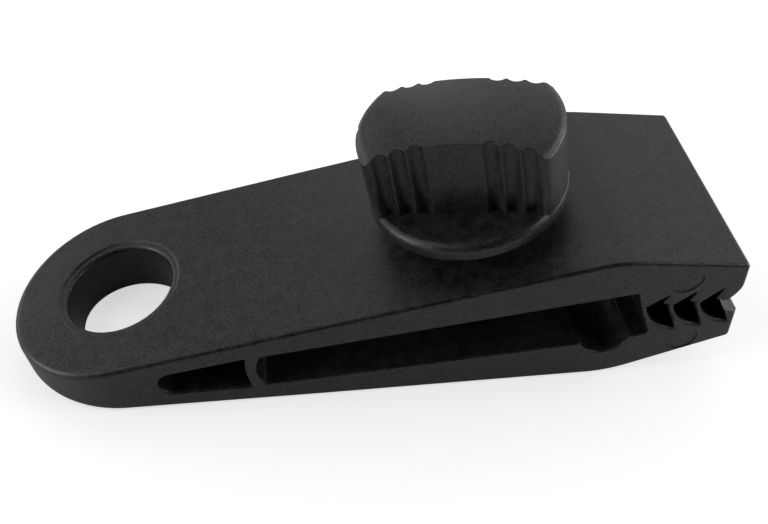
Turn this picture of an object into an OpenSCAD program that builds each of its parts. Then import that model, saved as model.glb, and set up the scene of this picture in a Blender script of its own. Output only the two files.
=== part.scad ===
// Tarp clip: a moulded clip with an eyelet end, two toothed jaws and a thumb screw.
// The clip is drawn about its middle plane, with x from the eyelet's centre towards the jaws,
// and then turned so that it lies on the flat underside of its lower arm.

/* [Eyelet end] */
// Radius of the round end, seen from above
eye_r = 14.5; // [13:0.1:16]
// Radius of the eyelet's bore
bore_r = 7.05; // [5:0.05:8]
// Round on the rims of the bore
rim_r = 1.3; // [0.5:0.1:1.5]
// Thickness of the clip at the eyelet's centre
eye_t = 8; // [7:0.1:9.5]
// Wall left round the bore where the closed slot runs up to it
eye_wall = 2; // [1.5:0.1:3]

/* [Arms] */
// Distance from the eyelet's centre to the nose of the jaws
reach = 79.3; // [70:0.1:90]
// Width across the jaws
jaw_w = 30.6; // [28:0.1:34]
// Slope of each outer face against the middle plane, in degrees
wedge = 6.2; // [5:0.1:7.5]
// Distance from the nose back to the bend where the outer faces turn in to it
bend_back = 16.3; // [14.3:0.1:19]
// Radius of that bend
bend_r = 16; // [4:0.5:24]
// Height of the upper nose over the middle plane
nose_up = 7.1; // [6:0.1:8]
// Depth of the lower nose under the middle plane
nose_down = 6.6; // [6:0.1:8]
// Round on the upright corners of the nose
corner_r = 0.5; // [0.4:0.1:2]
// Round on the lower edge of the nose
nose_r = 0.8; // [0.3:0.1:1.2]

/* [Flexing end] */
// Distance from the eyelet's centre to the round end of the closed slot
slot_x = 4.7; // [4:0.1:6]
// Height of the closed slot at its round end
slot_end_h = 3.8; // [3:0.1:4.4]
// Height of the slots beside the web
gap_h = 5.5; // [5:0.1:6]
// Distance from the eyelet's centre to the middle of the web
web_x = 16.4; // [15.5:0.1:17]
// Thickness of the web at its middle
web_t = 1.4; // [1:0.1:2]
// Bow of the web's face towards the jaws
web_bow = 0.85; // [0.4:0.05:1.1]
// Bow of the web's face towards the eyelet
web_back_bow = 0.3; // [0.1:0.05:0.6]
// Distance from the eyelet's centre to the line that the upper arm flexes about
hinge_x = 19.6; // [19.4:0.1:21]

/* [Jaws] */
// Distance from the nose back to the inner corner of the upper jaw
jaw_len = 13.7; // [12.8:0.1:14.1]
// Height of the gap's ceiling over the middle plane at the upper jaw
ceiling_up = 4.65; // [4.2:0.05:5]
// Depth of the gap's floor under the middle plane at the rope groove
floor_down = 3.85; // [3.4:0.05:4.2]
// Height of the bite line over the middle plane
bite_up = 1.95; // [1.6:0.05:2.4]
// Space between the tips of the teeth at rest
bite_gap = 0.3; // [0.2:0.05:0.8]
// Teeth in each jaw
teeth = 4; // [3:1:4]
// Distance from one tooth to the next
pitch = 3.5; // [3.3:0.05:3.6]
// Flat on the tip of a tooth
tip_w = 0.8; // [0.4:0.05:1]
// Distance that the first tips lie past the upper jaw's inner corner
tip_in = 0.6; // [0.3:0.05:1]
// Depth of the lower teeth
lower_h = 5.2; // [4.4:0.1:5.5]
// Lean of the lower teeth towards the eyelet
lower_lean = 1.45; // [1:0.05:1.6]
// Depth of the upper teeth
upper_h = 1.9; // [1.4:0.1:2.2]
// Radius of the rope groove in the lower arm
groove_r = 3.5; // [3:0.1:3.7]
// Distance from the nose back to the middle of the rope groove
groove_back = 17.1; // [16.7:0.1:17.5]

/* [Thumb screw] */
// Distance from the nose back to where the screw meets the upper face
screw_back = 31.8; // [29.3:0.1:35]
// Radius of the shaft
shaft_r = 4; // [3:0.1:4.5]
// Distance of the shaft's end from the underside of the clip
shaft_end = 0.5; // [0.2:0.1:2]
// Chamfer on the shaft's end
shaft_chamfer = 0.6; // [0.2:0.1:1]
// Depth of the shaft's socket in the knob, from the foot of the hub
socket_h = 11; // [8:0.5:12]
// Radius of the hub between the base disc and the upper arm
hub_r = 7.5; // [6:0.1:9]
// Height of the hub
hub_h = 3.4; // [2:0.1:4]
// Radius of the base disc
disc_r = 12.75; // [11:0.05:14]
// Thickness of the base disc
disc_t = 2.2; // [1.6:0.1:3]
// Round on the upper edge of the base disc
disc_round = 1; // [0.3:0.1:1.2]
// Draft of the grip bar's round ends, from the foot of the base disc up
end_draft = 0.1; // [0.05:0.05:0.6]
// Chamfer between the round ends and the domed top
end_chamfer = 0.4; // [0.3:0.05:1.2]
// Height of the grip bar's middle over the foot of the base disc
bar_top = 13.1; // [11:0.05:16]
// Radius of the domed top
dome_r = 33.5; // [24:0.5:40]
// Width of the grip bar's middle at the base disc
bar_foot_w = 13.5; // [12.6:0.1:16]
// Width of the grip bar's middle at its top
bar_top_w = 12.1; // [10:0.1:12.6]
// Radius of the long hollow that draws in the bar's sides at its middle
waist_r = 104; // [60:1:200]
// Angle of the grip bar to the clip, in degrees
bar_turn = -16.2; // [-90:0.1:90]
// Flutes at each end of each side of the bar
flutes = 3; // [2:1:3]
// Radius of a flute
flute_r = 1; // [0.8:0.05:1.1]
// Depth of a flute
flute_depth = 0.6; // [0.3:0.05:0.8]
// Distance from one flute to the next
flute_pitch = 2.25; // [2.2:0.05:2.5]
// Distance from the bar's middle to the first flute
flute_x = 4.45; // [4:0.05:4.8]

/* [Fits] */
// Clearance of the upper arm round the flexing line
hinge_gap = 0.1; // [0.05:0.01:0.2]
// Clearance of the hub over the upper arm
hub_gap = 0.1; // [0.05:0.01:0.3]
// Clearance of the shaft in the lower arm and in the knob
shaft_gap = 0.08; // [0.03:0.01:0.1]
// Clearance of the shaft in the upper arm, which tilts round it
arm_gap = 0.9; // [0.8:0.05:1.4]

/* [Hidden] */
$fn = 64;
// Overrun of cuts past the faces that they go through
over = 2;
// Steps along a rounded stretch of an outline
steps = 10;
// Depth of the middle of the bore's rim round, as a share of its radius
rim_share = 0.95;
// How much of the hinge's round end the leaf's seat covers, measured along the clip
seat_share = 0.7;
// Place of the lower flank's bend, as shares of its run and of its depth
flank_shares = [0.15, 0.8];
// Place where the upper nose starts to round in, as a share of its height over the bite line
upper_nose_share = 0.42;
// Depth where the lower nose starts to round in, as a share of the lower teeth
lower_nose_share = 0.8;
// Place of the rounded noses' middle, as shares of their run and of their rise
nose_shares = [0.8, 0.35];
// Depth of the rope groove's middle, as a share of the gap's floor
groove_share = 0.7;

// Places along the clip, from the eyelet's centre
bend_x = reach - bend_back;
jaw_x = reach - jaw_len;
groove_x = reach - groove_back;
screw_x = reach - screw_back;

// Height of the upper outer face, and of the gap's ceiling and floor, over the middle plane
function face_z(x) = eye_t / 2 + x * tan(wedge);
function ceiling_z(x) = gap_h / 2 + (ceiling_up - gap_h / 2) * (x - web_x) / (jaw_x - web_x);
function floor_z(x) = -gap_h / 2 - (floor_down - gap_h / 2) * (x - web_x) / (groove_x - web_x);

// Points of an arc about c, and of a curve from a to b that leans to k
function arc(c, r, from, to) = [for (i = [0 : steps]) let (t = from + (to - from) * i / steps)
    c + r * [cos(t), sin(t)]];
function curve(a, k, b) = [for (i = [0 : steps]) let (t = i / steps)
    (1 - t) * (1 - t) * a + 2 * t * (1 - t) * k + t * t * b];
// Middle and points of the corner b between a and c, rounded by r
function unit(v) = v / norm(v);
function half_corner(a, b, c) = acos(unit(a - b) * unit(c - b)) / 2;
function corner_middle(a, b, c, r) = b + unit(unit(a - b) + unit(c - b)) * r / sin(half_corner(a, b, c));
function corner(a, b, c, r) =
    let (k = corner_middle(a, b, c, r),
         e = b + unit(a - b) * r / tan(half_corner(a, b, c)) - k,
         f = b + unit(c - b) * r / tan(half_corner(a, b, c)) - k,
         start = atan2(e[1], e[0]),
         turn = atan2(e[0] * f[1] - e[1] * f[0], e * f))
    arc(k, r, start, start + turn);

// The flexing line of the upper arm and the round end about it
hinge_z = (face_z(hinge_x) + ceiling_z(hinge_x)) / 2;
hinge_r = (face_z(hinge_x) - ceiling_z(hinge_x)) / 2 * cos(wedge);
ceiling_slope = atan2(ceiling_z(jaw_x) - ceiling_z(hinge_x), jaw_x - hinge_x);
seat_x = hinge_x - seat_share * hinge_r;

// Heights of the tips and of the valleys of both rows of teeth
upper_tip = bite_up + bite_gap / 2;
lower_tip = bite_up - bite_gap / 2;
tooth_x = [for (i = [0 : teeth - 1]) jaw_x + tip_in + i * pitch];
last_tip = tooth_x[teeth - 1] + tip_w;

// Faces of the web towards the jaws and towards the eyelet
web_front = web_x + web_t / 2;
web_back = web_x - web_t / 2;
function bow_r(bow) = (gap_h * gap_h / 4 + bow * bow) / (2 * bow);
function bow_angle(bow) = asin(gap_h / 2 / bow_r(bow));

// Outline of the upper arm and jaw, from the flexing line along the upper face and back under the teeth
function upper_tooth(x) = [
    [x, upper_tip],
    [x + tip_w, upper_tip],
    [x + pitch, upper_tip + upper_h],
];
upper_nose_z = upper_tip + (nose_up - upper_tip) * upper_nose_share;
upper_outline = concat(
    arc([hinge_x, hinge_z], hinge_r, 270 + ceiling_slope, 90 + wedge),
    corner([hinge_x, face_z(hinge_x)], [bend_x, face_z(bend_x)], [reach, nose_up], bend_r),
    [[reach, nose_up]],
    curve([reach, upper_nose_z],
        [last_tip + (reach - last_tip) * nose_shares[0],
         upper_tip + (upper_nose_z - upper_tip) * nose_shares[1]],
        [last_tip, upper_tip]),
    [[tooth_x[teeth - 1], upper_tip]],
    [for (i = [teeth - 2 : -1 : 0]) for (j = [2 : -1 : 0]) upper_tooth(tooth_x[i])[j]],
    [[jaw_x, ceiling_z(jaw_x)]]
);

// Outline of the eyelet end, the leaves, the web and the lower arm and jaw
function lower_foot(x) = [x + lower_lean, lower_tip - lower_h];
function lower_tooth(x) = concat(
    [lower_foot(x), [x, lower_tip]],
    curve([x + tip_w, lower_tip],
        [x + tip_w + (pitch + lower_lean - tip_w) * flank_shares[0], lower_tip - lower_h * flank_shares[1]],
        lower_foot(x + pitch))
);
lower_nose_z = lower_tip - lower_h * lower_nose_share;
groove_z = floor_z(groove_x) * groove_share;
lower_outline = concat(
    [[-eye_r - over, -face_z(-eye_r - over)]],
    corner([0, -face_z(0)], [bend_x, -face_z(bend_x)], [reach, -nose_down], bend_r),
    corner([bend_x, -face_z(bend_x)], [reach, -nose_down], [reach, 0], nose_r),
    curve([reach, lower_nose_z],
        [last_tip + (reach - last_tip) * nose_shares[0],
         lower_nose_z + (lower_tip - lower_nose_z) * nose_shares[1]],
        [last_tip, lower_tip]),
    [[tooth_x[teeth - 1], lower_tip]],
    [for (i = [teeth - 2 : -1 : 0]) each [for (j = [steps + 2 : -1 : 1]) lower_tooth(tooth_x[i])[j]]],
    [lower_foot(tooth_x[0])],
    [[groove_x + groove_r, floor_z(groove_x)], [groove_x, floor_z(groove_x)]],
    [[web_front + web_bow, -gap_h / 2]],
    arc([web_front + bow_r(web_bow), 0], bow_r(web_bow), 180 + bow_angle(web_bow), 180 - bow_angle(web_bow)),
    [[seat_x, ceiling_z(seat_x)], [seat_x, face_z(seat_x)]],
    [[-eye_r - over, face_z(-eye_r - over)]]
);

// Outline of the closed slot between the leaves
slot_outline = concat(
    arc([slot_x + slot_end_h / 2, 0], slot_end_h / 2, 90, 270),
    arc([web_back + bow_r(web_back_bow), 0], bow_r(web_back_bow),
        180 + bow_angle(web_back_bow), 180 - bow_angle(web_back_bow))
);

// Outline of the clip seen from above: a round end and sides that spread a little to the jaws
nose_half = jaw_w / 2;
plan_outline = concat(
    [[0, -eye_r]],
    corner([0, -eye_r], [reach, -nose_half], [reach, nose_half], corner_r),
    corner([reach, -nose_half], [reach, nose_half], [0, eye_r], corner_r),
    [[0, eye_r]]
);

// The clip's place on the surface that it lies on, with the origin under the middle of its length
nose_middle = corner_middle([bend_x, -face_z(bend_x)], [reach, -nose_down], [reach, 0], nose_r);
left_end = -eye_r * cos(wedge) - face_z(-eye_r) * sin(wedge);
right_end = nose_middle * [cos(wedge), -sin(wedge)] + nose_r;
module on_ground() {
    translate([-(left_end + right_end) / 2, 0, eye_t / 2 * cos(wedge)])
        rotate([0, -wedge, 0])
            children();
}

// The screw's own frame, square to the upper face where the screw meets it
module on_screw() {
    on_ground()
        translate([screw_x, 0, face_z(screw_x)])
            rotate([0, -wedge, 0])
                children();
}

// A side outline, run across the whole width of the clip
module across() {
    translate([0, jaw_w / 2 + over, 0])
        rotate([90, 0, 0])
            linear_extrude(jaw_w + 2 * over)
                children();
}

// A side outline of the clip, cut to the outline seen from above
module moulding() {
    tall = face_z(reach) + over;
    intersection() {
        across()
            children();
        translate([0, 0, -tall])
            linear_extrude(2 * tall)
                union() {
                    circle(eye_r);
                    polygon(plan_outline);
                }
    }
}

// The closed slot between the leaves, which leaves a wall round the bore
module closed_slot() {
    difference() {
        across()
            polygon(slot_outline);
        rotate([0, -wedge, 0])
            cylinder(r = bore_r + eye_wall, h = 2 * eye_t, center = true);
    }
}

// Half the side profile of the bore's rounded rim, over the outer face that it opens in
module bore_rim() {
    difference() {
        translate([0, -rim_share * rim_r])
            square([bore_r + rim_r, rim_r + over]);
        translate([bore_r + rim_r, -rim_share * rim_r])
            circle(rim_r);
    }
}

// The bore and its upper rim, square to the upper face as the screw is
module bore() {
    rotate([0, -wedge, 0])
        rotate_extrude() {
            translate([0, -eye_t])
                square([bore_r, 2 * eye_t]);
            translate([0, face_z(0) * cos(wedge)])
                bore_rim();
        }
}

// Place where the bore's slanted line meets the lower face, and the rim there
lower_rim_x = eye_t / 2 * cos(wedge) * sin(wedge) / cos(2 * wedge);
module lower_rim() {
    translate([lower_rim_x, 0, -face_z(lower_rim_x)])
        rotate([0, wedge, 0])
            mirror([0, 0, 1])
                rotate_extrude()
                    bore_rim();
}

module lower_arm() {
    color("#2f2f31")
        difference() {
            on_ground()
                difference() {
                    moulding()
                        difference() {
                            polygon(lower_outline);
                            translate([hinge_x, hinge_z])
                                circle(hinge_r + hinge_gap);
                            translate([groove_x, groove_z])
                                circle(groove_r);
                        }
                    closed_slot();
                    bore();
                    lower_rim();
                }
            on_screw()
                translate([0, 0, -2 * face_z(screw_x) - over])
                    cylinder(r = shaft_r + shaft_gap, h = face_z(screw_x) + over);
        }
}

module upper_arm() {
    color("#343436")
        difference() {
            on_ground()
                moulding()
                    polygon(upper_outline);
            on_screw()
                translate([0, 0, -face_z(screw_x)])
                    cylinder(r = shaft_r + arm_gap, h = face_z(screw_x) + over);
        }
}

// Length of the shaft under the upper face, measured along its slanted line to the underside
shaft_down = (2 * face_z(screw_x) * cos(wedge) - shaft_end) / cos(2 * wedge) - shaft_r * tan(2 * wedge);

module screw_shaft() {
    color("#29292b")
        on_screw()
            translate([0, 0, -shaft_down]) {
                cylinder(r1 = shaft_r - shaft_chamfer, r2 = shaft_r, h = shaft_chamfer);
                translate([0, 0, shaft_chamfer])
                    cylinder(r = shaft_r, h = shaft_down - shaft_chamfer + hub_gap + socket_h - shaft_gap);
            }
}

// Half the side profile of the hub and of the base disc with its rounded edge
module knob_foot() {
    square([hub_r, hub_h + disc_t]);
    translate([0, hub_h])
        square([disc_r, disc_t - disc_round]);
    translate([0, hub_h])
        square([disc_r - disc_round, disc_t]);
    translate([disc_r - disc_round, hub_h + disc_t - disc_round])
        circle(disc_round);
}

// The round ends of the grip bar, from the foot of the base disc to a chamfer under the domed top
bar_r = disc_r - end_draft;
function dome_z(r) = bar_top - dome_r + sqrt(dome_r * dome_r - r * r);
chamfer_foot = [bar_r, dome_z(bar_r) - end_chamfer];
chamfer_head = [bar_r - end_chamfer, dome_z(bar_r - end_chamfer)];
chamfer_end = 2 * chamfer_head - chamfer_foot;
module round_ends() {
    rotate_extrude()
        polygon([[0, 0], [disc_r, 0], chamfer_foot, chamfer_end, [chamfer_end[0], bar_top], [0, bar_top]]);
}

// How far the bar's side stands out at a distance from the bar's middle
function swell(x) = waist_r - sqrt(waist_r * waist_r - x * x);
bar_draft = (bar_foot_w - bar_top_w) / 2 / (bar_top - disc_t);

// A round cut at a distance from the bar's middle, leaning with the drafted side that it is made in
module side_cut(x, r, depth) {
    translate([x, -bar_foot_w / 2 - swell(x), disc_t])
        rotate([-atan(bar_draft), 0, 0])
            translate([0, depth - r, 0])
                cylinder(r = r, h = bar_top);
}

// The grip bar before its flutes: drafted sides drawn in at the middle, round ends and a domed top
foot_half = bar_foot_w / 2 + swell(disc_r);
top_half = bar_top_w / 2 + swell(disc_r);
module bar_blank() {
    difference() {
        intersection() {
            translate([-disc_r - over, 0, 0])
                rotate([90, 0, 90])
                    linear_extrude(2 * (disc_r + over))
                        polygon([[-foot_half, 0], [foot_half, 0], [foot_half, disc_t],
                                 [top_half, bar_top], [-top_half, bar_top], [-foot_half, disc_t]]);
            round_ends();
            translate([0, 0, bar_top - dome_r])
                sphere(dome_r);
        }
        for (side = [0, 180])
            rotate([0, 0, side])
                side_cut(0, waist_r, 0);
    }
}

module thumb_knob() {
    color("#3a3a3c")
        on_screw()
            translate([0, 0, hub_gap])
                rotate([0, 0, bar_turn])
                    difference() {
                        union() {
                            rotate_extrude()
                                knob_foot();
                            translate([0, 0, hub_h])
                                difference() {
                                    bar_blank();
                                    for (side = [0, 180], end = [-1, 1], i = [0 : flutes - 1])
                                        rotate([0, 0, side])
                                            side_cut(end * (flute_x + i * flute_pitch), flute_r, flute_depth);
                                }
                        }
                        translate([0, 0, -over])
                            cylinder(r = shaft_r + shaft_gap, h = socket_h + over);
                    }
}

lower_arm();
upper_arm();
screw_shaft();
thumb_knob();
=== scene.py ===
# %% [markdown]
# # A tarp clip with a thumb screw
# A tarp clip bites the edge of a sheet between toothed jaws, and a guy rope is tied to its eyelet. The
# real one is two black nylon mouldings: a springy body, and a screw with a fluted knob on top. The
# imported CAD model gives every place, size and joint. This lesson builds the moulded skins that stand for
# its solids: soft edges, rims, a real thread, the marks that a mould leaves, and the fine texture of the
# plastic.

# %% Load the frame
import math

import bmesh
import bpy
import numpy as np
from mathutils import Euler, Matrix, Vector


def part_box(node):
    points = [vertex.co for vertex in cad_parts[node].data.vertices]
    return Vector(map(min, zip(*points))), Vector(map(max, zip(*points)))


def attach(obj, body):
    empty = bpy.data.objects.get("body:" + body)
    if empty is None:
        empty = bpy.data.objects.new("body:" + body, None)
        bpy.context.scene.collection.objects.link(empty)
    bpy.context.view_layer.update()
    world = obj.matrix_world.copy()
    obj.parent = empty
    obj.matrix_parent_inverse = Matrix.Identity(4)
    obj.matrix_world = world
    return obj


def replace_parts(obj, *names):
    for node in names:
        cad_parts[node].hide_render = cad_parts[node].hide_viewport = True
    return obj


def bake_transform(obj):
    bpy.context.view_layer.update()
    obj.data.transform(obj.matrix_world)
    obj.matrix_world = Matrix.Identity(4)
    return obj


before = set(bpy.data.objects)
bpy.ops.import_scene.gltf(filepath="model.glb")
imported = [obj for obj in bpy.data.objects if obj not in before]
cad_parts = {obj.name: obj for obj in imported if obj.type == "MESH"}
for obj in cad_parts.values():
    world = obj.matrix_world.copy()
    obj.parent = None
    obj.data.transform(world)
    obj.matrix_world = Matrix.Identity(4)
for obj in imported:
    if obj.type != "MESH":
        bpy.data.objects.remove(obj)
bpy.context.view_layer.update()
MM_IN_M = 1000

# %% [markdown]
# ## Two working frames
# The clip's own drawing is simplest in millimetres, with x running from the eyelet's centre to the jaws
# and z = 0 on the plane midway between its two faces. The faces open towards the jaws like a wedge, so
# the clip tilts by the wedge angle when it lies on its lower face. The screw stands square on the upper
# face, in a frame of its own. Each mesh is built in one of these frames and moved into the CAD frame
# once, at the end, so no mesh needs a fitted transform.

# %% The clip's frame and the screw's frame
WEDGE = math.radians(6.2)
SLOPE = math.tan(WEDGE)
# The eyelet's radius and half its thickness, the jaws' reach and half their width, and the screw's place.
EYE_R, EYE_HALF = 14.5, 4.0
REACH, NOSE_HALF = 79.3, 15.3
SCREW_X = 47.5


def upper_face(x):
    """Height of the upper face above the clip's middle plane, before its bend."""
    return EYE_HALF + x * SLOPE


eyelet_end = EYE_R * math.cos(WEDGE) + upper_face(-EYE_R) * math.sin(WEDGE)
eyelet_x = MM_IN_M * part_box("lower_arm")[0].x + eyelet_end
tilt = Matrix.Rotation(-WEDGE, 4, "Y")
to_metres = Matrix.Scale(1 / MM_IN_M, 4)
screw_frame = Matrix.Translation((SCREW_X, 0, upper_face(SCREW_X))) @ tilt
CLIP = to_metres @ Matrix.Translation((eyelet_x, 0, EYE_HALF * math.cos(WEDGE))) @ tilt
SCREW = CLIP @ screw_frame
print("eyelet centre in mm:", [round(MM_IN_M * v, 3) for v in CLIP.translation])

# %% [markdown]
# ## Skins from loops
# A moulding with soft edges can be made with bevel modifiers, but they fail where thin edges meet. Here
# every form is a row of closed loops, drawn as numbers and skinned with four-sided faces, so an edge
# round is simply a few more loops. Holes and gaps are skins as well. They are carved out with Boolean
# modifiers, which are applied at once.


# %% Loops and skins
def new_piece(name, points, faces):
    """A mesh object whose faces look outward."""
    mesh = bpy.data.meshes.new(name)
    mesh.from_pydata([tuple(map(float, p)) for p in points], [], faces)
    built = bmesh.new()
    built.from_mesh(mesh)
    bmesh.ops.recalc_face_normals(built, faces=built.faces)
    built.to_mesh(mesh)
    built.free()
    piece = bpy.data.objects.new(name, mesh)
    bpy.context.scene.collection.objects.link(piece)
    return piece


def ladder(count):
    """Fills a mirrored loop with rungs: point k of the near half is joined to point k of the far half."""
    return [(k, k + 1, count - 2 - k, count - 1 - k) for k in range(count // 2 - 1)]


def sleeve(loop_total, count):
    """Four-sided faces between each loop of count points and the next one."""
    faces = []
    for k in range(loop_total - 1):
        a, b = k * count, (k + 1) * count
        faces += [(a + i, a + (i + 1) % count, b + (i + 1) % count, b + i) for i in range(count)]
    return faces


def skin(name, loops, fill=None):
    """Skins loops of equally many points, and closes both ends with the fill, or with one flat face."""
    count = len(loops[0])
    fill = fill or [tuple(range(count))]
    end = (len(loops) - 1) * count
    faces = sleeve(len(loops), count) + fill + [tuple(end + i for i in face) for face in fill]
    return new_piece(name, [p for loop in loops for p in loop], faces)


print("rungs of a loop of eight points:", ladder(8))


# %% Carving and measuring
def carve(piece, tool, how="DIFFERENCE"):
    """Applies a Boolean of the tool to the piece, and removes the tool."""
    step = piece.modifiers.new("carve", "BOOLEAN")
    step.object, step.operation, step.solver = tool, how, "MANIFOLD"
    graph = bpy.context.evaluated_depsgraph_get()
    carved = bpy.data.meshes.new_from_object(piece.evaluated_get(graph))
    piece.modifiers.clear()
    plain, piece.data = piece.data, carved
    carved.name = plain.name
    bpy.data.meshes.remove(plain)
    bpy.data.objects.remove(tool)
    return piece


def ring(radius, height, steps=128, turn=tilt):
    """A circle round the z axis, turned into the clip's frame."""
    angles = np.linspace(0, 2 * np.pi, steps, endpoint=False)
    return [turn @ Vector((radius * np.cos(a), radius * np.sin(a), height)) for a in angles]


def open_edges(piece):
    """How many edges of a mesh don't join exactly two faces."""
    used = [loop.edge_index for loop in piece.data.loops]
    sides = np.bincount(used, minlength=len(piece.data.edges))
    return int((sides != 2).sum())


print("a ring has", len(ring(1, 0)), "points unless it is told otherwise")

# %% [markdown]
# ## The body's blank
# Seen from above, the body is a round eyelet end that widens a little towards square jaws. Seen from the
# side, its two faces open like a wedge and bend together again near the nose. The blank is that outline
# drawn at every step of its edge round: down from the upper face, across the side wall, and round to the
# lower face. The faces are filled with rungs across the clip, so the skin has cross lines where the arm
# will bend.

# %% Sides and faces of the blank
EDGE_R, EYE_EDGE_R = 0.5, 0.8
EDGE_FROM, EDGE_TO = 0.0, 25.0
BEND_X, BEND_R, BEND_POINTS = 63.0, 16.0, 13
NOSE_UP, NOSE_DOWN = 7.1, 6.6
END_CLEAR = 1


def side_half(x):
    """Half the clip's width at x."""
    return EYE_R + (NOSE_HALF - EYE_R) * np.clip(x, 0, REACH) / REACH


def edge_radius(x):
    """Radius of the edge round at x. It is larger at the eyelet, where ropes rub."""
    return np.interp(x, (EDGE_FROM, EDGE_TO), (EYE_EDGE_R, EDGE_R))


def bent_face(nose_height):
    """The line of a face from just past the eyelet's end to the nose, with its bend rounded."""
    peak = np.array((BEND_X, upper_face(BEND_X)))
    start = np.array((-EYE_R - END_CLEAR, upper_face(-EYE_R - END_CLEAR)))
    stop = np.array((REACH, nose_height))
    back, ahead = (start - peak), (stop - peak)
    back, ahead = back / np.linalg.norm(back), ahead / np.linalg.norm(ahead)
    opening = math.acos(back @ ahead)
    run = BEND_R / math.tan(opening / 2)
    middle = peak + (back + ahead) / np.linalg.norm(back + ahead) * BEND_R / math.sin(opening / 2)
    first, last = peak + back * run - middle, peak + ahead * run - middle
    angles = np.linspace(math.atan2(first[1], first[0]), math.atan2(last[1], last[0]), BEND_POINTS)
    bend = [middle + BEND_R * np.array((math.cos(a), math.sin(a))) for a in angles]
    return np.array([start, *bend, stop])


top_face, low_face = bent_face(NOSE_UP), bent_face(NOSE_DOWN)
print("the upper face bends from x =", round(top_face[1, 0], 1), "to", round(top_face[-2, 0], 1), "mm")

# %% Skin of the blank
CORNER_R, CORNER_POINTS = 0.55, 9
EYE_FROM, EYE_POINTS = 0.02, 44
ROUND_STEPS = 6
# Cross lines lie closer in front of the web, from 18 to 28 mm, and at the faces' bend, from 60 to 66 mm.
SPANS = ((1, 18, 2), (18, 29, 1), (30, 60, 2), (60, 66.5, 0.5), (67, REACH - CORNER_R, 2))
STATIONS = [x for span in SPANS for x in np.arange(*span)]


def half_outline(step):
    """Near half of the outline from above, eyelet to nose, drawn in by one step of the edge round."""
    draw = 1 - math.sin(step)
    eye_half = EYE_R - EYE_EDGE_R * draw
    angles = np.linspace(EYE_FROM, np.pi / 2, EYE_POINTS)
    points = [(-eye_half * math.cos(a), -eye_half * math.sin(a)) for a in angles]
    points += [(x, edge_radius(x) * draw - side_half(x)) for x in STATIONS]
    middle = (REACH - CORNER_R, -(NOSE_HALF - CORNER_R))
    radius = CORNER_R - draw * EDGE_R
    for a in np.linspace(0, np.pi / 2, CORNER_POINTS):
        points.append((middle[0] + radius * math.sin(a), middle[1] - radius * math.cos(a)))
    return points


def blank_loop(face, sign, step):
    """The outline at one step of the edge round of the upper (sign 1) or lower (sign -1) face."""
    loop = []
    for x, y in half_outline(step):
        height = np.interp(x, face[:, 0], face[:, 1]) - edge_radius(x) * (1 - math.cos(step))
        loop.append((x, y, sign * height))
    return loop + [(x, -y, z) for x, y, z in reversed(loop)]


round_steps = np.linspace(0, np.pi / 2, ROUND_STEPS)
blank_loops = [blank_loop(top_face, 1, a) for a in round_steps]
blank_loops += [blank_loop(low_face, -1, a) for a in round_steps[::-1]]
body = skin("body", blank_loops, ladder(len(blank_loops[0])))
print("blank:", len(body.data.polygons), "faces,", open_edges(body), "open edges")

# %% [markdown]
# ## The gap, the web and the teeth
# One gap runs from the thin web to the jaws and leaves two arms. Its outline holds the whole bite: a
# half-round groove for a hemmed rope, four leaning hooks below, and four saw teeth above. The real gap
# is the space round a steel core in the mould, so the cutter here is drawn as that core. Its ends flare
# where they meet the side walls, which rounds the gap's edges as the moulding's are.


# %% Corners of an outline
def corner(x, z, radius=0.0, flare=1.0):
    """A corner: its place, its round, and how much the edge after it flares at the side walls."""
    return (x, z, radius, flare)


def arc(middle, radius, start, stop, steps, end_round=0.0):
    """Corners on an arc, from one angle to another in degrees, with rounds at its two ends."""
    angles = np.radians(np.linspace(start, stop, steps + 1))
    rounds = [end_round] + [0.0] * (steps - 1) + [end_round]
    return [corner(middle[0] + radius * np.cos(a), middle[1] + radius * np.sin(a), r)
            for a, r in zip(angles, rounds)]


def bow(start, pull, stop, flare, steps=8):
    """Corners inside a curve from start to stop that leaves and arrives towards pull."""
    start, pull, stop = map(np.array, (start, pull, stop))
    shares = np.linspace(0, 1, steps + 1)[1:-1]
    spots = [(1 - t) ** 2 * start + 2 * t * (1 - t) * pull + t * t * stop for t in shares]
    return [corner(*spot, 0, flare) for spot in spots]


print("a corner of an outline:", corner(1, 2))

# %% Mould cores
STRAIGHT, LEAST_R, EDGE_SHARE = 0.1, 0.03, 0.45
CORE_OUT, FLARE_STEPS = 5, 6


def moved_out(corners, grow):
    """Corners of a counter-clockwise outline, its edges moved outward, with their flares and turns."""
    spots = np.array([c[:2] for c in corners], float)
    ahead = np.roll(spots, -1, 0) - spots
    ahead /= np.linalg.norm(ahead, axis=1)[:, None]
    out = np.stack([ahead[:, 1], -ahead[:, 0]], 1)
    moved, flares, turns = [], [], []
    for i, (_, _, _, flare) in enumerate(corners):
        before, after = out[i - 1], out[i]
        moves = grow * np.array((corners[i - 1][3], flare))
        turn = before[0] * after[1] - before[1] * after[0]
        if abs(turn) > STRAIGHT:
            step = np.linalg.solve(np.array((before, after)), moves)
        else:
            step = (before + after) / 2 * moves.mean()
        moved.append(spots[i] + step)
        flares.append((corners[i - 1][3] + flare) / 2)
        turns.append(turn)
    return moved, flares, turns


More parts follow.
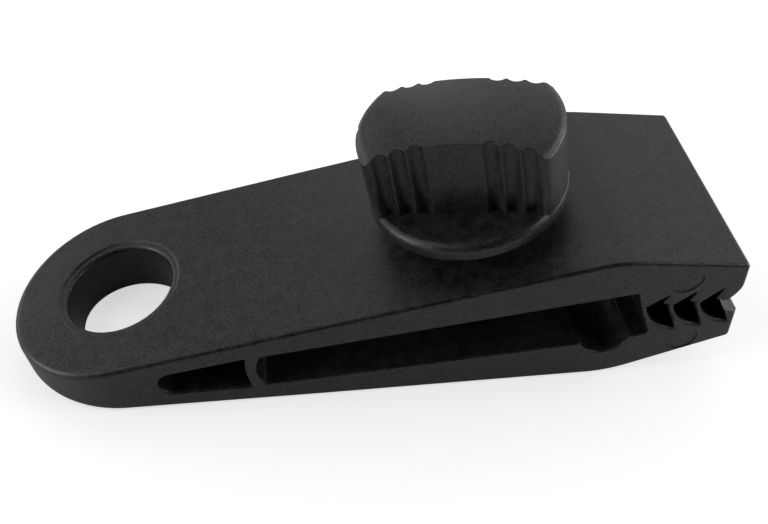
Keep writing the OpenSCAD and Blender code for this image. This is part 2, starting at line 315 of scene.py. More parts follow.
def grown(corners, grow, steps=5):
    """An outline of corners moved outward edge by edge and rounded, as (x, z, flare) points."""
    moved, flares, turns = moved_out(corners, grow)
    outline = []
    for i, (_, _, radius, _) in enumerate(corners):
        if not radius:
            outline.append((*moved[i], flares[i]))
            continue
        radius = radius + grow if turns[i] > 0 else max(radius - grow, LEAST_R)
        to_last, to_next = moved[i - 1] - moved[i], moved[(i + 1) % len(moved)] - moved[i]
        far_last, far_next = np.linalg.norm(to_last), np.linalg.norm(to_next)
        opening = math.acos(np.clip(to_last @ to_next / far_last / far_next, -1, 1))
        run = min(radius / math.tan(opening / 2), EDGE_SHARE * far_last, EDGE_SHARE * far_next)
        start, stop = moved[i] + to_last / far_last * run, moved[i] + to_next / far_next * run
        outline += [(*((1 - t) ** 2 * start + 2 * t * (1 - t) * moved[i] + t * t * stop), flares[i])
                    for t in np.linspace(0, 1, steps)]
    return outline


def core(name, corners, flare):
    """A mould core across the clip, with flared ends that round the edges it leaves on the side walls."""
    near = [[(x, -NOSE_HALF - CORE_OUT, z) for x, z, _ in grown(corners, flare)]]
    for a in np.linspace(0, np.pi / 2, FLARE_STEPS):
        depth = flare * (1 - math.cos(a))
        near.append([(x, depth * share - side_half(x), z)
                     for x, z, share in grown(corners, flare * (1 - math.sin(a)))])
    return skin(name, near + [[(x, -y, z) for x, y, z in loop] for loop in reversed(near)])


print("cores reach", CORE_OUT, "mm past the nose's side walls")

# %% Sizes of the gap
GAP_START, GAP_HALF = 16.4, 2.75
WEB_FRONT, WEB_BOW, WEB_STEPS = 17.1, 0.85, 16
GROOVE, GROOVE_R, GROOVE_STEPS = (62.2, -2.695), 3.5, 20
GROOVE_BACK, GROOVE_AHEAD = (-3.33, -1.075), 3.30
JAW_FLOOR, JAW_CEILING, JAW_START = -3.85, 4.65, 65.6
STEP_ROUND, GAP_FLARE, GAP_CLEAR = 0.4, 0.25, 6
# The ceiling has a corner every 4 mm, and every 1 mm near the web.
FLOOR_X, CEILING_SPANS = 40, ((62, 28, -4), (28, 18, -1))
# The floor falls to the groove's back edge, and the ceiling rises to the jaw's step.
FLOOR_FALL = -(GAP_HALF + GROOVE[1] + GROOVE_BACK[1]) / (GROOVE[0] + GROOVE_BACK[0] - GAP_START)
CEILING_RISE = (JAW_CEILING - GAP_HALF) / (JAW_START - GAP_START)


def web_side(x, depth, steps, end_round=0.0):
    """A side of the web, from top to bottom: an arc that is bowed by a depth, with its midpoint at x."""
    radius = (GAP_HALF**2 + depth**2) / (2 * depth)
    swing = math.degrees(math.asin(GAP_HALF / radius))
    return arc((x + radius, 0), radius, 180 - swing, 180 + swing, steps, end_round)


def gap_floor(x):
    """Height of the lower arm's inner face at x."""
    return -GAP_HALF - FLOOR_FALL * (x - GAP_START)


def gap_ceiling(x):
    """Height of the upper arm's inner face at x."""
    return GAP_HALF + CEILING_RISE * (x - GAP_START)


print("gap at the screw:", round(gap_ceiling(SCREW_X) - gap_floor(SCREW_X), 2), "mm high")

# %% Teeth of the bite
TEETH, PITCH, TIP_W, FIRST_TIP = 4, 3.5, 0.8, 66.2
LOWER_FOOT, LOWER_LEAN, HOLLOW_PULL = -3.4, 1.7, (1.4225, -2.36)
UPPER_FOOT, SAW_FOOT, SAW_HOOK = 3.87, 0.3, 0.55
BITE, BITE_FALL, BITE_CLEAR = 1.95, 0.088, 0.03
NOSE_LOW, NOSE_HIGH = -1.5, 4.2
NOSE_PULL_LOW, NOSE_PULL_HIGH = (REACH - 0.6, -0.4), (REACH - 0.5, 2.2)
TIP_ROUND, FOOT_ROUND = 0.15, 0.3
BACK_FLARE, TIP_FLARE, HOLLOW_FLARE, SLOPE_FLARE = 0.5, 0.1, 2.4, 0.4


def bite(x):
    """Height of the line where the closed teeth meet. It is nearly level when the clip lies down."""
    return BITE - BITE_FALL * (x - FIRST_TIP)


def lower_teeth():
    """Hooks that lean back towards the eyelet, with hollow fronts. The last one runs out to the nose."""
    corners = []
    for i in range(TEETH):
        tip = FIRST_TIP + i * PITCH
        foot, crest = (tip + LOWER_LEAN, LOWER_FOOT), (tip + TIP_W, bite(tip + TIP_W) - BITE_CLEAR)
        corners.append(corner(*foot, FOOT_ROUND, BACK_FLARE))
        corners.append(corner(tip, bite(tip) - BITE_CLEAR, TIP_ROUND, TIP_FLARE))
        corners.append(corner(*crest, TIP_ROUND, HOLLOW_FLARE))
        if i < TEETH - 1:
            pull = (tip + HOLLOW_PULL[0], HOLLOW_PULL[1])
            corners += bow(crest, pull, (foot[0] + PITCH, LOWER_FOOT), HOLLOW_FLARE)
    nose = (REACH, NOSE_LOW)
    return corners + bow(crest, NOSE_PULL_LOW, nose, HOLLOW_FLARE) + [corner(*nose)]


def upper_teeth():
    """Saw teeth that hook back as the lower ones do, from the nose back to the jaw's step."""
    crest = FIRST_TIP + (TEETH - 1) * PITCH + TIP_W
    top, last_tip = (REACH, NOSE_HIGH), (crest, bite(crest) + BITE_CLEAR)
    corners = [corner(*top)] + bow(top, NOSE_PULL_HIGH, last_tip, TIP_FLARE)
    for i in reversed(range(TEETH)):
        tip = FIRST_TIP + i * PITCH
        hook = tip - SAW_HOOK if i else tip
        corners.append(corner(tip + TIP_W, bite(tip + TIP_W) + BITE_CLEAR, TIP_ROUND, TIP_FLARE))
        corners.append(corner(hook, bite(hook) + BITE_CLEAR, TIP_ROUND, BACK_FLARE))
        if i:
            corners.append(corner(tip + SAW_FOOT, UPPER_FOOT, FOOT_ROUND, SLOPE_FLARE))
    return corners


print("teeth:", len(lower_teeth()), "corners below and", len(upper_teeth()), "above")

# %% Cut the gap
groove_start = math.degrees(math.atan2(GROOVE_BACK[1], GROOVE_BACK[0])) + 360
groove_stop = math.degrees(math.atan2(JAW_FLOOR - GROOVE[1], GROOVE_AHEAD)) + 360
gap = [corner(FLOOR_X, gap_floor(FLOOR_X))]
gap += arc(GROOVE, GROOVE_R, groove_start, groove_stop, GROOVE_STEPS, STEP_ROUND)
gap += lower_teeth()
gap += [corner(REACH + GAP_CLEAR, NOSE_LOW), corner(REACH + GAP_CLEAR, NOSE_HIGH)]
gap += upper_teeth()
gap.append(corner(JAW_START, JAW_CEILING, STEP_ROUND))
gap += [corner(x, gap_ceiling(x)) for span in CEILING_SPANS for x in np.arange(*span)]
gap += web_side(WEB_FRONT, WEB_BOW, WEB_STEPS)
carve(body, core("gap core", gap, GAP_FLARE))
print("gap cut:", len(gap), "corners,", open_edges(body), "open edges")

# %% [markdown]
# ## The teeth's cut corners
# The teeth meet the side walls in the open, where a sharp corner would catch fingers and cloth. The
# hooks of the upper teeth are cut back beside the walls. The last lower tooth has each end planed off by
# a slanted plane, which falls towards the nose and rises into the bite. Wedges of air do these cuts.

# %% Cut back the upper hooks
CUT_AT, CUT_W, CUT_DEEP = 0.45, 1.0, 0.4
CUT_CLEAR, ROOF_CLEAR = 0.2, 0.03


def saw_roof(x, tip):
    """A height just under the roof of the hollow behind a tooth."""
    start, stop = tip - PITCH + TIP_W, tip + SAW_FOOT
    low = bite(start) + BITE_CLEAR
    return low + (UPPER_FOOT - low) * (x - start) / (stop - start) - ROOF_CLEAR


for side in (-1, 1):
    for i in range(1, TEETH):
        tip = FIRST_TIP + i * PITCH
        back = tip - SAW_HOOK - CUT_CLEAR
        ahead = tip + CUT_AT + CUT_W * CUT_CLEAR / CUT_DEEP
        spots = [(ahead, -CUT_CLEAR), (back, CUT_DEEP * (tip + CUT_AT - back) / CUT_W), (back, -CUT_CLEAR)]
        foot_loop = [(x, side * (side_half(x) - inward), bite(x)) for x, inward in spots]
        roof_loop = [(x, y, saw_roof(x, tip)) for x, y, _ in foot_loop]
        carve(body, skin("hook cut", [foot_loop, roof_loop]))
print("upper hooks cut back:", open_edges(body), "open edges")

# %% Plane off the last lower tooth
PLANE_AT, PLANE_LOW = 77.5, -0.97
PLANE_FALL, PLANE_RISE = -0.483, 0.755
PLANE_CLEAR, PLANE_BACK = 2.0, 0.3


def tooth_plane(x, inward):
    """Height of the slanted plane at x, at a distance in from the side wall."""
    return PLANE_LOW + PLANE_FALL * (x - PLANE_AT) + PLANE_RISE * inward


for side in (-1, 1):
    wedge_loops = []
    for x in (FIRST_TIP + (TEETH - 1) * PITCH - PLANE_BACK, REACH + PLANE_CLEAR):
        reach_in = (bite(x) - tooth_plane(x, 0)) / PLANE_RISE
        spots = [(-PLANE_CLEAR, tooth_plane(x, -PLANE_CLEAR)), (reach_in, bite(x)), (-PLANE_CLEAR, bite(x))]
        wedge_loops.append([(x, side * (NOSE_HALF - inward), z) for inward, z in spots])
    carve(body, skin("tooth wedge", wedge_loops))
print("last tooth planed:", open_edges(body), "open edges")

# %% [markdown]
# ## The closed slot
# Behind the web lies a closed slot that saves plastic and lets the web flex. It stops at a round wall
# about the eyelet's hole, so the slot core has that wall taken out of it before it cuts the body.

# %% Cut the closed slot
EYE_WALL_R, EYE_WALL_HALF = 9.05, 9
SLOT_END, SLOT_END_R, SLOT_END_STEPS = (6.6, 0), 1.9, 24
WEB_BACK, WEB_BACK_BOW, WEB_BACK_STEPS = 15.7, 0.3, 12
SLOT_FLARE = 0.4

slot = web_side(WEB_BACK, WEB_BACK_BOW, WEB_BACK_STEPS, STEP_ROUND)[::-1]
slot += arc(SLOT_END, SLOT_END_R, 90, 270, SLOT_END_STEPS)
slot_core = core("slot core", slot, SLOT_FLARE)
wall = skin("eyelet wall", [ring(EYE_WALL_R, h) for h in (-EYE_WALL_HALF, EYE_WALL_HALF)])
carve(body, carve(slot_core, wall))
print("slot cut:", open_edges(body), "open edges")

# %% [markdown]
# ## The eyelet's hole
# The rope wears on the eyelet, so its hole has rounded rims. The hole stands square on the upper face
# and meets the lower face at a slant, so each point of the lower rim is set off from that slanted face.
# The upper round runs out on a narrow ledge, sunk a little below the face, with a bevelled ring round
# it, where the hole's pin met the mould.

# %% Profiles of the rims
RIM_R, RIM_STOP, RIM_POINTS = 0.6, math.radians(80), 10
LEDGE_DEPTH, LEDGE_OUT, RING_OUT = 0.2, 0.86, 1.21
RIM_CLEAR, CORE_CLEAR = 0.3, 4.0

# Each point of a profile is a distance out from the hole's wall and a depth below the face.
rim_angles = np.linspace(0, RIM_STOP, RIM_POINTS)
rim_round = [(RIM_R * (1 - math.cos(a)), RIM_R * (1 - math.sin(a))) for a in rim_angles]
upper_out, lower_out = RING_OUT + RIM_CLEAR, RIM_R + RIM_CLEAR
ring_slope = LEDGE_DEPTH / (RING_OUT - LEDGE_OUT)
upper_rim = [(out, LEDGE_DEPTH + depth) for out, depth in rim_round]
upper_rim += [(LEDGE_OUT, LEDGE_DEPTH), (upper_out, -RIM_CLEAR * ring_slope), (upper_out, -CORE_CLEAR)]
lower_rim = rim_round + [(lower_out, -RIM_CLEAR / math.tan(RIM_STOP)), (lower_out, -CORE_CLEAR)]
print("rims:", len(upper_rim), "points above,", len(lower_rim), "below")

# %% Cut the eyelet's hole
EYE_HOLE_R, EYE_HOLE_X, EYE_HOLE_STEPS = 7.2, 0.2, 160
hole_angles = np.linspace(0, 2 * np.pi, EYE_HOLE_STEPS, endpoint=False)
upper_plane = EYE_HALF * math.cos(WEDGE)


def lower_plane(radius, a):
    """How far along the hole's axis the lower face is, at this radius and angle."""
    fall = EYE_HALF + 2 * radius * math.cos(a) * math.sin(WEDGE)
    return -fall * math.cos(WEDGE) / math.cos(2 * WEDGE)


def hole_loop(out, depth, lower):
    """A loop of the hole's core, set off from the upper face or from the lower one."""
    loop = []
    for a in hole_angles:
        radius = EYE_HOLE_R + out
        height = lower_plane(radius, a) + depth if lower else upper_plane - depth
        loop.append(tilt @ Vector((EYE_HOLE_X + radius * math.cos(a), radius * math.sin(a), height)))
    return loop


hole_loops = [hole_loop(*r, True) for r in reversed(lower_rim)] + [hole_loop(*r, False) for r in upper_rim]
carve(body, skin("hole core", hole_loops))
print("eyelet cut:", open_edges(body), "open edges")

# %% [markdown]
# ## The screw's holes and the mould's marks
# The screw passes freely through the upper arm and has its thread in the lower arm. Two round ejector
# marks show on the near wall of the jaws. They are only a tenth of a millimetre deep, but they tell that
# the piece was moulded.

# %% Cut the screw's holes and press the ejector marks
HOLE_R, FREE_R, HOLE_STEPS = 4.08, 4.9, 64
# Each point of a profile is a widening of the hole and a height above the upper face.
FREE_PROFILE = ((0, -7), (0, -0.4), (0.4, 0), (0.4, 3))
THREAD_PROFILE = ((0.5, -21), (0.5, -18.5), (0, -18), (0, -11))
MARK_R, MARK_DEPTH, MARK_CLEAR, MARK_STEPS = 2.15, 0.1, 2.0, 48
MARKS = ((71.45, 5.95), (72.58, -5.65))

for name, radius, profile in (("free hole", FREE_R, FREE_PROFILE), ("thread hole", HOLE_R, THREAD_PROFILE)):
    carve(body, skin(name, [ring(radius + wider, h, HOLE_STEPS, screw_frame) for wider, h in profile]))
for x, z in MARKS:
    angles = np.linspace(0, 2 * np.pi, MARK_STEPS, endpoint=False)
    circle = [(x + MARK_R * math.cos(a), z + MARK_R * math.sin(a)) for a in angles]
    depths = (-MARK_CLEAR, MARK_DEPTH)
    carve(body, skin("mark", [[(u, depth - side_half(x), w) for u, w in circle] for depth in depths]))
print("holes and marks cut:", len(body.data.polygons), "faces,", open_edges(body), "open edges")

# %% [markdown]
# ## Two skins for one moulding
# The body is a single moulding, but its upper arm springs up when the screw is let out. The skin is
# therefore cut in two. The lower skin stays with the clip's base. The upper skin starts just in front of
# the web.

# %% Split the body
ARM_START, ARM_FREE = 18.4, 32.0
SPLIT_Z, SPLIT_STOP, SPLIT_BITE = 0.5, 64, 65
SPLIT_FAR, SPLIT_OUT = 90, 30
split = [(ARM_START, SPLIT_Z), (SPLIT_STOP, SPLIT_Z), (SPLIT_BITE, bite(SPLIT_BITE)),
         (SPLIT_FAR, bite(SPLIT_FAR)), (SPLIT_FAR, SPLIT_OUT), (ARM_START, SPLIT_OUT)]


def split_block(name):
    """A block that holds the upper arm and the upper jaw."""
    return skin(name, [[(x, y, z) for x, z in split] for y in (-SPLIT_OUT, SPLIT_OUT)])


upper_skin = body.copy()
upper_skin.data = body.data.copy()
upper_skin.name = upper_skin.data.name = "upper_arm_skin"
bpy.context.scene.collection.objects.link(upper_skin)
carve(upper_skin, split_block("upper block"), "INTERSECT")
lower_skin = carve(body, split_block("lower block"))
lower_skin.name = lower_skin.data.name = "clip_body_skin"
print("open edges:", open_edges(lower_skin), "in the lower skin and", open_edges(upper_skin), "in the upper")

# %% [markdown]
# ## The knob
# The knob is a round foot disc with a grip bar across it. The bar's ends are nearly flush with the disc,
# its long sides lean in, its top is a shallow dome, and rows of flutes give the fingers a hold. Flutes
# could be carved one at a time, but a flute is only a dip in the bar's outline, so the outline is drawn
# with its dips at every height. The dome's edge then gets its scallops by itself.

# %% Long sides of the grip bar
DISC_R, DISC_FOOT, DISC_TOP, DISC_ROUND = 12.75, 3.5, 5.7, 1.0
BAR_TOP, DOME_R = 16.6, 33.5
BAR_FOOT_HALF, BAR_TOP_HALF, WAIST_R = 6.75, 6.05, 104.0
FLUTES = (4.35, 6.55, 8.8)
FLUTE_R, FLUTE_DEPTH, RIB_SOFT = 1.0, 0.6, 0.35


def dip(x):
    """How deep the flutes cut the bar's side at x, with soft ribs between them."""
    off = min(abs(abs(x) - place) for place in FLUTES)
    raw = (math.sqrt(FLUTE_R**2 - off**2) if off < FLUTE_R else FLUTE_R - off) - (FLUTE_R - FLUTE_DEPTH)
    if abs(raw) < RIB_SOFT:
        return (raw + RIB_SOFT) ** 2 / (4 * RIB_SOFT)
    return max(raw, 0)


def rise_share(height):
    """Share of the bar's height, from 0 at the disc to 1 at the top."""
    return (height - DISC_TOP) / (BAR_TOP - DISC_TOP)


def bar_half(x, height):
    """Half the bar's thickness at x and at a height: drawn in at the middle, and fluted."""
    swell = WAIST_R - math.sqrt(WAIST_R**2 - x * x)
    return BAR_FOOT_HALF + (BAR_TOP_HALF - BAR_FOOT_HALF) * rise_share(height) + swell - dip(x)


print("bar's top:", 2 * bar_half(0, BAR_TOP), "mm thick at its waist")

# %% Round ends of the grip bar
END_R_FOOT, END_R_TOP = 12.65, 12.7
CORNER_LOW, CORNER_HIGH, HALVINGS = 10.0, 12.5, 40
CORNER_SOFT, CORNER_STEPS = 0.55, 9
DENT_DEPTH, DENT_W = 0.25, 0.45
SIDE_STOP, SIDE_STEP = 9.75, 0.1
# The last share stays just off the bar's middle line, so the mirrored outline has no double point.
LAST_SHARE, END_POINTS = 0.004, 40
SIDE_X = np.arange(0, SIDE_STOP, SIDE_STEP)
END_SHARES = np.linspace(1, LAST_SHARE, END_POINTS)
SIDE_POINTS = len(SIDE_X)
HEIGHT_TOTAL = SIDE_POINTS + END_POINTS


def end_radius(height):
    """Radius of the bar's round ends at a height."""
    return END_R_FOOT + (END_R_TOP - END_R_FOOT) * rise_share(height)


def bar_corner(height):
    """Where the bar's side meets its round end, found by halving."""
    low, high = CORNER_LOW, CORNER_HIGH
    for _ in range(HALVINGS):
        x = (low + high) / 2
        low, high = (x, high) if math.hypot(x, bar_half(x, height)) < end_radius(height) else (low, x)
    return x


def bar_end(y, height):
    """How far out the bar's round end is at y, with the small dent that the mould's seam leaves."""
    return math.sqrt(end_radius(height) ** 2 - y * y) - DENT_DEPTH * math.exp(-((y / DENT_W) ** 2))


def bar_right(heights):
    """Right half of the bar's near outline, at a height for each point: its side, then its end."""
    points = [(x, -bar_half(x, h), h) for x, h in zip(SIDE_X, heights)]
    height = heights[SIDE_POINTS]
    corner_x = bar_corner(height)
    corner_y = bar_half(corner_x, height)
    start = np.array((corner_x - CORNER_SOFT, corner_y))
    stop = np.array((bar_end(corner_y - CORNER_SOFT, height), corner_y - CORNER_SOFT))
    for t in np.linspace(0, 1, CORNER_STEPS):
        x, y = (1 - t) ** 2 * start + 2 * t * (1 - t) * np.array((corner_x, corner_y)) + t * t * stop
        points.append((x, -y, height))
    for share, h in zip(END_SHARES[1:], heights[SIDE_POINTS + 1:]):
        y = (corner_y - CORNER_SOFT) * share
        points.append((bar_end(y, h), -y, h))
    return points


print("bar's corner at", round(bar_corner(DISC_TOP), 2), "mm;", HEIGHT_TOTAL, "heights a side")

# %% Top of the grip bar
CHAMFER, CHAMFER_SOFT = 0.4, 0.03


def bar_top_height(x, y):
    """The domed top, with a chamfer round the ends."""
    far = math.hypot(x, y)
    dome = BAR_TOP - DOME_R + math.sqrt(DOME_R**2 - far**2)
    rim_height = BAR_TOP - DOME_R + math.sqrt(DOME_R**2 - END_R_TOP**2) - CHAMFER
    slope = rim_height + END_R_TOP - far
    return 0.5 * (dome + slope - math.hypot(dome - slope, CHAMFER_SOFT))


def mirrored(right):
    """The whole loop from the right half of its near side."""
    near = [(-x, y, z) for x, y, z in reversed(right[1:])] + right
    return near + [(x, -y, z) for x, y, z in reversed(near)]


def drawn_in(right, inset):
    """The right half of a loop moved inward: across the bar on its side, and to its middle on its end."""
    moved = []
    for i, (x, y, _) in enumerate(right):
        turn = min(max((i - SIDE_POINTS) / CORNER_STEPS, 0), 1)
        far = math.hypot(x, y)
        moved.append((x - inset * turn * x / far, y + inset * (1 - turn - turn * y / far)))
    return moved


print("bar's rim:", round(bar_top_height(END_R_TOP, 0), 2), "mm high")

# %% Loops of the grip bar
BAR_SINK, BAR_STEPS, BAR_EDGE = 0.02, 12, 0.08
NEAR_TOP = BAR_TOP - 2
CHAMFER_SHARES = (0.5, 0.75, 0.9, 1.0, 1.1, 1.25, 2.0)

edge_line = bar_right([NEAR_TOP] * HEIGHT_TOTAL)
tops = [bar_top_height(x, y) for x, y, _ in edge_line]
corner_top = tops[SIDE_POINTS + CORNER_STEPS // 2]
edge_heights = [*tops[:SIDE_POINTS], corner_top, *tops[SIDE_POINTS + CORNER_STEPS:]]
bar_foot = DISC_FOOT + BAR_SINK
bar_loops = []
for share in np.linspace(0, 1, BAR_STEPS):
    heights = [bar_foot + share * (h - BAR_EDGE - bar_foot) for h in edge_heights]
    bar_loops.append(mirrored(bar_right(heights)))
rim_right = bar_right([h - BAR_EDGE for h in edge_heights])
insets = [(BAR_EDGE * (1 - math.cos(a)), BAR_EDGE * (1 - math.sin(a))) for a in round_steps[1:]]
insets += [(share * CHAMFER, 0) for share in CHAMFER_SHARES]
for inset, drop in insets:
    top_right = [(x, y, bar_top_height(x, y) - drop) for x, y in drawn_in(rim_right, inset)]
    bar_loops.append(mirrored(top_right))
print("grip bar:", len(bar_loops), "loops of", len(bar_loops[0]), "points")

# %% Skin of the grip bar
ROWS = 12
count = len(bar_loops[0])
half_count = count // 2
points = [p for loop in bar_loops for p in loop]
last = (len(bar_loops) - 1) * count
columns = []
for k in range(1, half_count - 1):
    near, far = bar_loops[-1][k], bar_loops[-1][count - 1 - k]
    column = [last + k]
    for share in np.linspace(0, 1, ROWS + 1)[1:-1]:
        y = near[1] + share * (far[1] - near[1])
        column.append(len(points))
        points.append((near[0], y, bar_top_height(near[0], y)))
    columns.append(column + [last + count - 1 - k])
faces = [(a[j], b[j], b[j + 1], a[j + 1]) for a, b in zip(columns, columns[1:]) for j in range(ROWS)]
faces += [(last, *columns[0], last + count - 1), (*columns[-1], last + half_count, last + half_count - 1)]
knob = new_piece("thumb_knob_skin", points, faces + sleeve(len(bar_loops), count) + ladder(count))
print("grip bar:", len(knob.data.polygons), "faces,", open_edges(knob), "open edges")

# %% [markdown]
# ## The knob's disc, hub and socket
# The disc and the hub under it are turned forms, so they are circles stacked on one axis. They are
# joined to the bar with a Boolean union, and the socket for the shaft is carved out last.

# %% Join the disc and the hub, and carve the socket
HUB_R, HUB_FOOT, HUB_EDGE = 7.5, 0.1, 0.3
DISC_STEPS, DISC_ROUND_POINTS = 192, 9
SOCKET_FOOT, SOCKET_TOP = -1, 11.1
upright = Matrix.Identity(4)
turned = [(HUB_R - HUB_EDGE, HUB_FOOT), (HUB_R, HUB_FOOT + HUB_EDGE), (HUB_R, DISC_FOOT - HUB_EDGE),
          (HUB_R + HUB_EDGE, DISC_FOOT)]
turned += [(DISC_R - HUB_EDGE * (1 - math.sin(a)), DISC_FOOT + HUB_EDGE * (1 - math.cos(a)))
           for a in round_steps]
turned += [(DISC_R - DISC_ROUND * (1 - math.cos(a)), DISC_TOP - DISC_ROUND * (1 - math.sin(a)))
           for a in np.linspace(0, np.pi / 2, DISC_ROUND_POINTS)]
carve(knob, skin("disc", [ring(r, h, DISC_STEPS, upright) for r, h in turned]), "UNION")
carve(knob, skin("socket", [ring(HOLE_R, h, HOLE_STEPS, upright) for h in (SOCKET_FOOT, SOCKET_TOP)]))
print("knob:", len(knob.data.polygons), "faces,", open_edges(knob), "open edges")

# %% [markdown]
# ## The threaded shaft
# Under the knob runs a coarse right-hand thread. A screw modifier can sweep one, but its ends are hard
# to close. Here the shaft is a stack of rings whose radius follows the thread's wave, shifted a little
# further round at every height. The wave is clipped flat at the crest and at the root, and it fades out
# at the tip.

# %% Turn the thread
CREST_R, ROOT_R, THREAD_PITCH = 4.0, 3.35, 2.0
WAVE_GAIN, WAVE_CUT, TIP_FADE = 1.6, 0.3, 1.2
THREAD_STEPS, THREAD_RISE, RISE_SLACK = 72, 0.125, 0.01
to_screw = SCREW.inverted()
along = [(to_screw @ v.co).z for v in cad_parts["screw_shaft"].data.vertices]
SHAFT_LOW, SHAFT_HIGH = min(along), max(along)


def thread_radius(height, a):
    """Radius of the shaft at a height and an angle."""
    phase = (height / THREAD_PITCH - a / (2 * math.pi)) % 1
    wave = min(max(abs(2 * phase - 1) * WAVE_GAIN - WAVE_CUT, 0), 1)
    fade = min(max((height - SHAFT_LOW) / TIP_FADE, 0), 1)
    return ROOT_R + (CREST_R - ROOT_R) * wave * fade


shaft_loops = []
for height in np.arange(SHAFT_LOW, SHAFT_HIGH + RISE_SLACK, THREAD_RISE):
    angles = np.linspace(0, 2 * np.pi, THREAD_STEPS, endpoint=False)
    radii = [thread_radius(height, a) for a in angles]
    shaft_loops.append([(r * math.cos(a), r * math.sin(a), height) for r, a in zip(radii, angles)])
thread = skin("thread_skin", shaft_loops)
print("thread:", round(SHAFT_HIGH - SHAFT_LOW, 2), "mm long,", open_edges(thread), "open edges")

# %% [markdown]
# ## Set the skins on the frame
# Each skin is moved into the CAD frame once and stands for its CAD solid. The thread turns with the
# knob, as one screw, so it rides on the knob. Flat faces next to edge rounds shade badly with plain
# smooth normals, so normals are weighted by face size.

# %% Place, shade and ride
BAR_TURN = math.radians(-16.2)
BASE, JAW, KNOB = "clip_base", "upper_jaw", "knob"
BODY_SHARP, KNOB_SHARP = math.radians(25), math.radians(35)


def settle(piece, place, sharp):
    """Moves a skin into the CAD frame and shades it: flat where it is flat, soft over its edge rounds."""
    piece.data.transform(place)
    piece.data.shade_smooth()
    piece.data.set_sharp_from_angle(angle=sharp)
    weights = piece.modifiers.new("flat faces", "WEIGHTED_NORMAL")
    weights.keep_sharp = True


settle(lower_skin, CLIP, BODY_SHARP)
settle(upper_skin, CLIP, BODY_SHARP)
settle(knob, SCREW @ Matrix.Rotation(BAR_TURN, 4, "Z"), KNOB_SHARP)
settle(thread, SCREW, KNOB_SHARP)
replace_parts(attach(lower_skin, BASE), "lower_arm")
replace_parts(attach(knob, KNOB), "thumb_knob")
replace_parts(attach(thread, KNOB), "screw_shaft")
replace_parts(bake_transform(upper_skin), "upper_arm")
for piece, slot in ((lower_skin, "clip_nylon"), (upper_skin, "clip_nylon"),
                    (knob, "knob_nylon"), (thread, "screw_nylon")):
    print(piece.name, [round(MM_IN_M * v, 1) for v in piece.dimensions], "mm")

# %% [markdown]
# ## Black nylon
# The real plastic is a near-black nylon with a spark-eroded grain from the mould, a little paler on its
# high spots. A plain dark colour would look like rubber. Here two sizes of noise are mixed. The mix
# makes the mottling and the bump and shifts the roughness, and the fine noise alone varies how strongly
# the surface mirrors, so the sheen breaks up as it does on the clip.

# %% Nodes of the nylon
FINE, COARSE = (3800.0, 3, 0.6), (700.0, 4, 0.55)
MIX_RANGE, MOTTLE_RANGE = (0.3, 0.7), (0.41, 0.59)
PIT_RANGE, MIRROR_RANGE = (0.4, 0.6), (0.41, 0.59)
ROUGH_SPREAD, REFRACTION = 0.08, 1.5


def noise(tree, place, sizes):
    """A noise in the piece's own space, from its scale, detail and roughness."""
    made = tree.nodes.new("ShaderNodeTexNoise")
    for socket, value in zip(("Scale", "Detail", "Roughness"), sizes):
        made.inputs[socket].default_value = value
    tree.links.new(place.outputs["Object"], made.inputs["Vector"])
    return made.outputs["Fac"]


def half_of(tree, source, more=None):
    """Half a value, with another value added if one is given."""
    made = tree.nodes.new("ShaderNodeMath")
    made.operation = "MULTIPLY_ADD" if more else "MULTIPLY"
    made.inputs[1].default_value = 0.5
    tree.links.new(source, made.inputs[0])
    if more:
        tree.links.new(more, made.inputs[2])
    return made.outputs[0]


def remap(tree, source, old, new):
    """A value moved from one range to another."""
    made = tree.nodes.new("ShaderNodeMapRange")
    for socket, value in zip(("From Min", "From Max", "To Min", "To Max"), (*old, *new)):
        made.inputs[socket].default_value = value
    tree.links.new(source, made.inputs["Value"])
    return made.outputs["Result"]


print("noise scales per metre:", FINE[0], COARSE[0])

# %% Nylon material
# Each finish has the colours of its pits and its peaks, a mean roughness and a depth of grain in metres.
FINISHES = {
    "black body nylon": ((0.005, 0.005, 0.0052), (0.022, 0.022, 0.0224), 0.4, 0.00006),
    "black knob nylon": ((0.006, 0.006, 0.0062), (0.023, 0.023, 0.0234), 0.4, 0.00004),
    "black shaft nylon": ((0.006, 0.006, 0.0062), (0.014, 0.014, 0.0144), 0.38, 0.00004),
}


def nylon(name, dark, pale, rough, grain):
    """A near-black nylon: colours of its pits and peaks, mean roughness, and depth of grain in metres."""
    made = bpy.data.materials.new(name)
    made.use_nodes = True
    tree = made.node_tree
    shader = tree.nodes["Principled BSDF"]
    place = tree.nodes.new("ShaderNodeTexCoord")
    fine = noise(tree, place, FINE)
    mix = half_of(tree, fine, half_of(tree, noise(tree, place, COARSE)))
    colours = tree.nodes.new("ShaderNodeValToRGB")
    for stop, position, colour in zip(colours.color_ramp.elements, MOTTLE_RANGE, (dark, pale)):
        stop.position = position
        stop.color = (*colour, 1)
    tree.links.new(mix, colours.inputs["Fac"])
    tree.links.new(colours.outputs["Color"], shader.inputs["Base Color"])
    sheen = remap(tree, mix, MIX_RANGE, (rough - ROUGH_SPREAD, rough + ROUGH_SPREAD))
    tree.links.new(sheen, shader.inputs["Roughness"])
    tree.links.new(remap(tree, fine, PIT_RANGE, MIRROR_RANGE), shader.inputs["Specular IOR Level"])
    bump = tree.nodes.new("ShaderNodeBump")
    bump.inputs["Strength"].default_value = 1.0
    bump.inputs["Distance"].default_value = grain
    tree.links.new(mix, bump.inputs["Height"])
    tree.links.new(bump.outputs["Normal"], shader.inputs["Normal"])
    shader.inputs["IOR"].default_value = REFRACTION
    return made


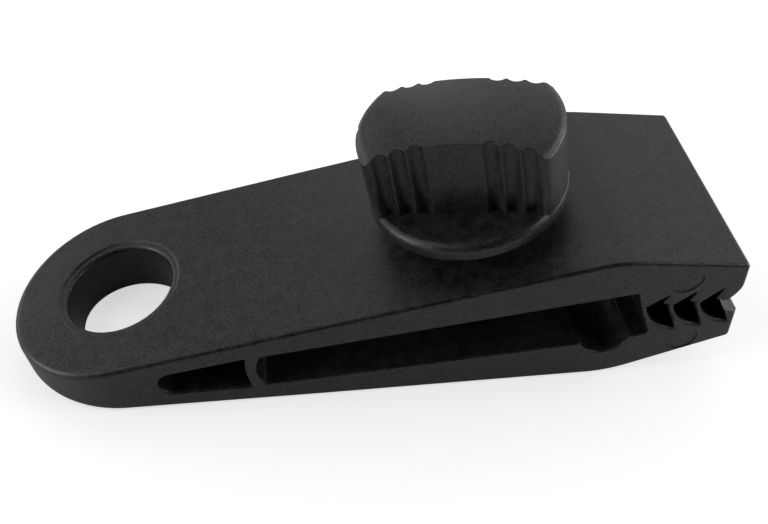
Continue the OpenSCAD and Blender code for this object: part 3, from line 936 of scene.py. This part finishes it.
body_nylon, knob_nylon, shaft_nylon = (nylon(name, *finish) for name, finish in FINISHES.items())
for piece, node, material in ((lower_skin, "lower_arm", body_nylon), (upper_skin, "upper_arm", body_nylon),
                              (knob, "thumb_knob", knob_nylon), (thread, "screw_shaft", shaft_nylon)):
    for mesh in (piece.data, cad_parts[node].data):
        mesh.materials.clear()
        mesh.materials.append(material)
print("materials:", sorted(m.name for m in bpy.data.materials if "nylon" in m.name))

# %% [markdown]
# ## Floor, light and camera
# The clip lies on a plain white floor under soft studio light. The camera has the place, direction and
# lens that the photograph was found to have. The floor adds white of its own where the camera sees it,
# also through clear things, and a little where the clip mirrors it, so it stays pale and still keeps the
# shadow.

# %% Floor
FLOOR_HALF, FLOOR_GREY = 0.7, 0.8
FLOOR_WHITE, FLOOR_GLOSS = 0.62, 0.095
WHITE = (1, 1, 1, 1)


def ray_levels(tree, base, levels):
    """A strength that all rays share, with more added for some kinds of ray."""
    rays = tree.nodes.new("ShaderNodeLightPath")
    total = None
    for ray, strength in levels.items():
        part = tree.nodes.new("ShaderNodeMath")
        part.operation = "MULTIPLY_ADD"
        part.inputs[1].default_value, part.inputs[2].default_value = strength, base
        tree.links.new(rays.outputs[ray], part.inputs[0])
        if total:
            tree.links.new(total, part.inputs[2])
        total = part.outputs[0]
    return total


floor_corners = [(x * FLOOR_HALF, y * FLOOR_HALF, 0) for x, y in ((-1, -1), (1, -1), (1, 1), (-1, 1))]
floor = new_piece("floor", floor_corners, [(0, 1, 2, 3)])
floor_paint = bpy.data.materials.new("white floor")
floor_paint.use_nodes = True
paint = floor_paint.node_tree.nodes["Principled BSDF"]
paint.inputs["Base Color"].default_value = (FLOOR_GREY, FLOOR_GREY, FLOOR_GREY, 1)
paint.inputs["Roughness"].default_value = 1.0
paint.inputs["Specular IOR Level"].default_value = 0.0
paint.inputs["Emission Color"].default_value = WHITE
shine = ray_levels(floor_paint.node_tree, 0.0, {
    "Is Camera Ray": FLOOR_WHITE, "Is Glossy Ray": FLOOR_GLOSS, "Is Transmission Ray": FLOOR_WHITE})
floor_paint.node_tree.links.new(shine, paint.inputs["Emission Strength"])
floor.data.materials.append(floor_paint)
print("floor:", [round(v, 1) for v in floor.dimensions], "m")

# %% World and lamps
SKY_FILL, SKY_WHITE, LAMP_FAR = 0.004, 1.0, 0.8
# Each lamp has an azimuth and a height in degrees, a size in metres and a power in watts.
LAMPS = {
    "right low box": (80, 10, 0.4, 2.7),
    "right box": (108, 30, 0.4, 1.45),
    "back right panel": (26, 35, 1.2, 3.0),
    "back left panel": (325, 35, 1.2, 1.4),
    "back left box": (312, 12, 0.4, 0.65),
    "left top box": (268, 48, 0.35, 0.8),
    "left low box": (262, 10, 0.4, 2.9),
}


def lamp(name, azimuth, height, size, power):
    """A square soft box that faces the clip's middle. Azimuth 0 is behind the clip, 90 to its right."""
    light = bpy.data.lights.new(name, "AREA")
    light.size, light.energy = size, power
    made = bpy.data.objects.new(name, light)
    a, e = math.radians(azimuth), math.radians(height)
    made.location = LAMP_FAR * Vector((math.sin(a) * math.cos(e), math.cos(a) * math.cos(e), math.sin(e)))
    made.rotation_euler = (-made.location).to_track_quat("-Z", "Y").to_euler()
    bpy.context.scene.collection.objects.link(made)


world = bpy.data.worlds.new("studio")
bpy.context.scene.world = world
world.use_nodes = True
sky = world.node_tree.nodes["Background"]
sky.inputs["Color"].default_value = WHITE
shine = ray_levels(world.node_tree, SKY_FILL, {
    "Is Camera Ray": SKY_WHITE, "Is Glossy Ray": SKY_FILL, "Is Transmission Ray": SKY_WHITE})
world.node_tree.links.new(shine, sky.inputs["Strength"])
for name, sizes in LAMPS.items():
    lamp(name, *sizes)

# %% Camera
# The camera's place in the clip's own frame, and its turns about x, y and z in the CAD frame.
VIEW_FROM = Vector((30.63, -83.75, 90.58))
VIEW_TURN = Euler([math.radians(a) for a in (43.804, -1.975, -7.659)])
LENS, SENSOR, NEAREST = 41.96, 36.0, 0.001

lens = bpy.data.cameras.new("camera")
lens.sensor_width, lens.lens, lens.sensor_fit = SENSOR, LENS, "HORIZONTAL"
lens.clip_start = NEAREST
camera = bpy.data.objects.new("camera", lens)
camera.matrix_world = Matrix.LocRotScale(CLIP @ VIEW_FROM, VIEW_TURN, None)
bpy.context.scene.collection.objects.link(camera)
bpy.context.scene.camera = camera
bpy.context.scene.view_settings.view_transform = "Standard"
print("camera at", [round(v, 4) for v in camera.matrix_world.translation])
